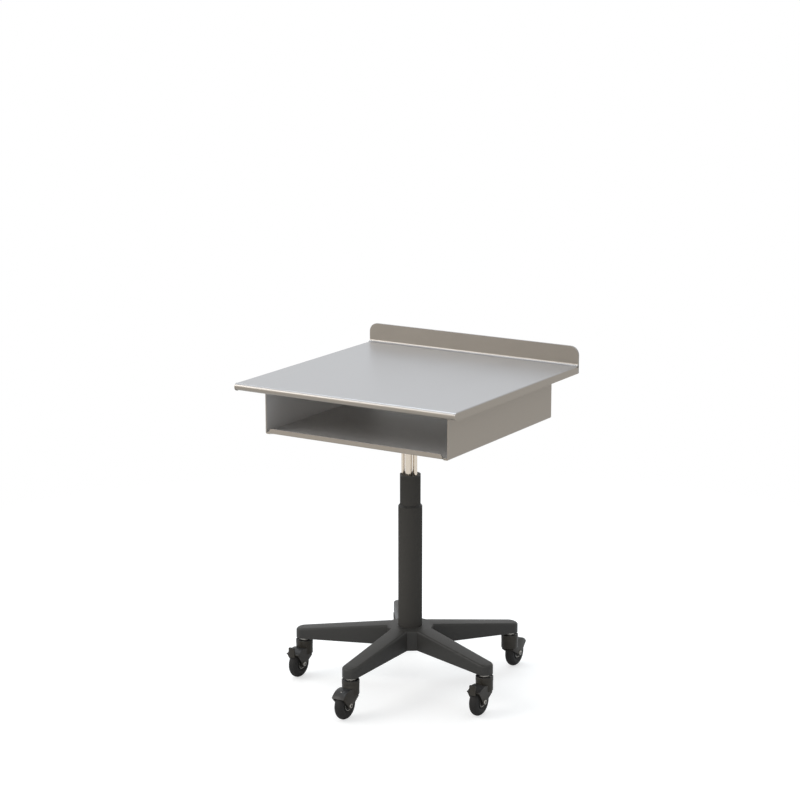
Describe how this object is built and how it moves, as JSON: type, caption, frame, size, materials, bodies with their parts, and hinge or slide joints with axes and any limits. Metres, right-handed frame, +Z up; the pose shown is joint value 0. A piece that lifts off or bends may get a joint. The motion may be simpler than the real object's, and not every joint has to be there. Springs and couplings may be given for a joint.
{
  "type": "mobile laptop cart",
  "caption": "Wheeled stand with a folded sheet-metal worktop, an open shelf below it, a telescopic height-adjustable column and a star base on swivel casters.",
  "frame": {"origin": "on the floor under the middle of the outer box at rest", "axes": "+Z up, -Y towards the user at the worktop's rolled front edge, +X to the user's right"},
  "size_m": [0.49, 0.515, 0.675],
  "materials": {
    "top_paint": "satin grey paint",
    "shelf_paint": "satin grey paint",
    "black_paint": "satin black paint",
    "tube_paint": "satin black paint",
    "base_paint": "satin black paint",
    "bright_rod": "polished rod",
    "zinc": "zinc plated",
    "glide_plastic": "matt black",
    "yoke_plastic": "matt black",
    "wheel_plastic": "matt black",
    "tyre": "soft tread"
  },
  "bodies": {
    "base": {"base_star": "base_paint", "outer_tube": "tube_paint", "outer_collar": "glide_plastic", "tube_plug": "zinc", "column_bolt": "zinc", "gas_cylinder": "black_paint", "caster_stems": "zinc"},
    "stage": {"inner_tube": "tube_paint", "inner_cap": "glide_plastic", "inner_foot": "glide_plastic"},
    "deck": {"worktop": "top_paint", "back_panel": "top_paint", "shelf_side_left": "top_paint", "shelf_side_right": "top_paint", "shelf_floor": "shelf_paint", "shelf_nuts": "zinc", "mount_plate": "black_paint", "mount_nuts": "zinc", "rod_block": "black_paint", "block_screws": "zinc", "lever_pivot": "zinc", "gas_rod": "bright_rod", "guide_rods": "bright_rod", "rod_foot": "glide_plastic"},
    "release_lever": {"release_lever": "black_paint"},
    "release_pin": {"release_pin": "bright_rod"},
    "caster_left": {"fork_left": "yoke_plastic", "cap_left": "yoke_plastic", "axle_left": "zinc"},
    "wheel_left": {"tyre_left": "tyre", "wheel_left": "wheel_plastic", "bearing_left": "zinc"},
    "caster_front": {"fork_front": "yoke_plastic", "cap_front": "yoke_plastic", "axle_front": "zinc"},
    "wheel_front": {"tyre_front": "tyre", "wheel_front": "wheel_plastic", "bearing_front": "zinc"},
    "caster_right": {"fork_right": "yoke_plastic", "cap_right": "yoke_plastic", "axle_right": "zinc"},
    "wheel_right": {"tyre_right": "tyre", "wheel_right": "wheel_plastic", "bearing_right": "zinc"},
    "caster_rear_right": {"fork_rear_right": "yoke_plastic", "cap_rear_right": "yoke_plastic", "axle_rear_right": "zinc"},
    "wheel_rear_right": {"tyre_rear_right": "tyre", "wheel_rear_right": "wheel_plastic", "bearing_rear_right": "zinc"},
    "caster_rear_left": {"fork_rear_left": "yoke_plastic", "cap_rear_left": "yoke_plastic", "axle_rear_left": "zinc"},
    "wheel_rear_left": {"tyre_rear_left": "tyre", "wheel_rear_left": "wheel_plastic", "bearing_rear_left": "zinc"},
    "brake_left": {"brake_left": "yoke_plastic"},
    "brake_right": {"brake_right": "yoke_plastic"},
    "brake_rear_left": {"brake_rear_left": "yoke_plastic"}
  },
  "joints": [
    {"name": "lift_lower", "type": "slide", "parent": "base", "child": "stage", "axis": [0, 0, 1], "range_m": [-0.04, 0.085]},
    {"name": "lift_upper", "type": "slide", "parent": "stage", "child": "deck", "axis": [0, 0, 1], "range_m": [-0.04, 0.085]},
    {"name": "release_lever_tilt", "type": "hinge", "parent": "deck", "child": "release_lever", "pos_m": [0.014, 0.00775, 0.5155], "axis": [0, -1, 0], "range_deg": [0, 5], "stiffness_Nm_per_rad": 2, "springref_deg": -6.88},
    {"name": "release_pin_press", "type": "slide", "parent": "deck", "child": "release_pin", "axis": [0, 0, -1], "range_m": [0, 0.0014]},
    {"name": "swivel_left", "type": "hinge", "parent": "base", "child": "caster_left", "pos_m": [-0.21018, -0.05454, 0.066], "axis": [0, 0, 1], "continuous": true},
    {"name": "roll_left", "type": "hinge", "parent": "caster_left", "child": "wheel_left", "pos_m": [-0.21018, -0.07574, 0.029], "axis": [1, 0, 0], "continuous": true},
    {"name": "swivel_front", "type": "hinge", "parent": "base", "child": "caster_front", "pos_m": [0, -0.20725, 0.066], "axis": [0, 0, 1], "continuous": true},
    {"name": "roll_front", "type": "hinge", "parent": "caster_front", "child": "wheel_front", "pos_m": [0, -0.22845, 0.029], "axis": [1, 0, 0], "continuous": true},
    {"name": "swivel_right", "type": "hinge", "parent": "base", "child": "caster_right", "pos_m": [0.21018, -0.05454, 0.066], "axis": [0, 0, 1], "continuous": true},
    {"name": "roll_right", "type": "hinge", "parent": "caster_right", "child": "wheel_right", "pos_m": [0.21018, -0.07574, 0.029], "axis": [1, 0, 0], "continuous": true},
    {"name": "swivel_rear_right", "type": "hinge", "parent": "base", "child": "caster_rear_right", "pos_m": [0.1299, 0.19254, 0.066], "axis": [0, 0, 1], "continuous": true},
    {"name": "roll_rear_right", "type": "hinge", "parent": "caster_rear_right", "child": "wheel_rear_right", "pos_m": [0.1299, 0.21374, 0.029], "axis": [-1, 0, 0], "continuous": true},
    {"name": "swivel_rear_left", "type": "hinge", "parent": "base", "child": "caster_rear_left", "pos_m": [-0.1299, 0.19254, 0.066], "axis": [0, 0, 1], "continuous": true},
    {"name": "roll_rear_left", "type": "hinge", "parent": "caster_rear_left", "child": "wheel_rear_left", "pos_m": [-0.1299, 0.17134, 0.029], "axis": [1, 0, 0], "continuous": true},
    {"name": "press_brake_left", "type": "hinge", "parent": "caster_left", "child": "brake_left", "pos_m": [-0.21018, -0.09825, 0.05314], "axis": [1, 0, 0], "range_deg": [0, 12]},
    {"name": "press_brake_right", "type": "hinge", "parent": "caster_right", "child": "brake_right", "pos_m": [0.21018, -0.09825, 0.05314], "axis": [1, 0, 0], "range_deg": [0, 12]},
    {"name": "press_brake_rear_left", "type": "hinge", "parent": "caster_rear_left", "child": "brake_rear_left", "pos_m": [-0.1299, 0.14884, 0.05314], "axis": [1, 0, 0], "range_deg": [0, 12]}
  ],
  "couplings": [
    {"joint": "release_pin_press", "follows": "release_lever_tilt", "m_per_rad": 0.014}
  ]
}
